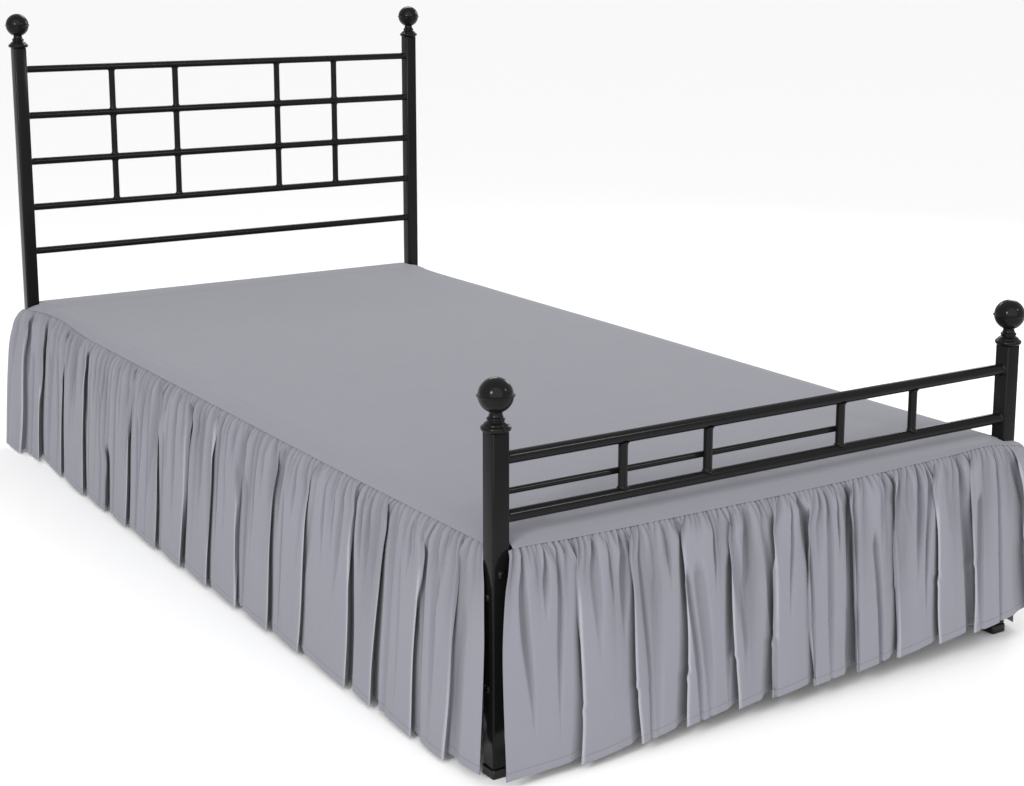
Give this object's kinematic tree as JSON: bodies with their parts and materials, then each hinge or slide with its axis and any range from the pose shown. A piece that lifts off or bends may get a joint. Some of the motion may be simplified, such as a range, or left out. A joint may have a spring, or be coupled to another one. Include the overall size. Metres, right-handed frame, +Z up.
{
  "type": "bed skirt on its metal bed frame",
  "caption": "Gathered bed skirt with a flat deck panel and drops at both sides and the foot, fitted on a plain single bed frame of square posts and round rails.",
  "frame": {"origin": "on the floor, under the middle of the rectangle that the four posts make", "axes": "+Y from the foot of the bed to its head, +X to the right seen from the foot, +Z up"},
  "size_m": [1.1147, 2.1278, 1],
  "materials": {
    "microfibre_cloth": "brushed, matt",
    "black_powder_coat": "gloss",
    "black_support_steel": "satin",
    "foot_plastic": "matt"
  },
  "bodies": {
    "root": {"baluster_1": "black_powder_coat", "baluster_2": "black_powder_coat", "baluster_3": "black_powder_coat", "baluster_4": "black_powder_coat", "bolt_left_1": "black_powder_coat", "bolt_left_2": "black_powder_coat", "bolt_left_3": "black_powder_coat", "bolt_right_1": "black_powder_coat", "bolt_right_2": "black_powder_coat", "bolt_right_3": "black_powder_coat", "deck": "microfibre_cloth", "finial_foot_left": "black_powder_coat", "finial_foot_right": "black_powder_coat", "finial_head_left": "black_powder_coat", "finial_head_right": "black_powder_coat", "foot_cap_foot_left": "foot_plastic", "foot_cap_foot_right": "foot_plastic", "foot_cap_head_left": "foot_plastic", "foot_cap_head_right": "foot_plastic", "foot_drop": "microfibre_cloth", "foot_rail_high": "black_powder_coat", "foot_rail_low": "black_powder_coat", "head_rail_1": "black_powder_coat", "head_rail_2": "black_powder_coat", "head_rail_3": "black_powder_coat", "head_rail_4": "black_powder_coat", "head_rail_5": "black_powder_coat", "head_upright_1_1": "black_powder_coat", "head_upright_1_2": "black_powder_coat", "head_upright_1_3": "black_powder_coat", "head_upright_1_4": "black_powder_coat", "head_upright_2_1": "black_powder_coat", "head_upright_2_2": "black_powder_coat", "head_upright_2_3": "black_powder_coat", "head_upright_2_4": "black_powder_coat", "head_upright_3_1": "black_powder_coat", "head_upright_3_2": "black_powder_coat", "head_upright_3_3": "black_powder_coat", "head_upright_3_4": "black_powder_coat", "left_drop": "microfibre_cloth", "post_foot_left": "black_powder_coat", "post_foot_right": "black_powder_coat", "post_head_left": "black_powder_coat", "post_head_right": "black_powder_coat", "right_drop": "microfibre_cloth", "side_rail_left": "black_support_steel", "side_rail_right": "black_support_steel", "slat_1": "black_support_steel", "slat_2": "black_support_steel", "slat_3": "black_support_steel", "slat_4": "black_support_steel", "slat_5": "black_support_steel", "slat_6": "black_support_steel", "slat_7": "black_support_steel", "slat_8": "black_support_steel", "stop_bar": "black_powder_coat"}
  },
  "joints": []
}
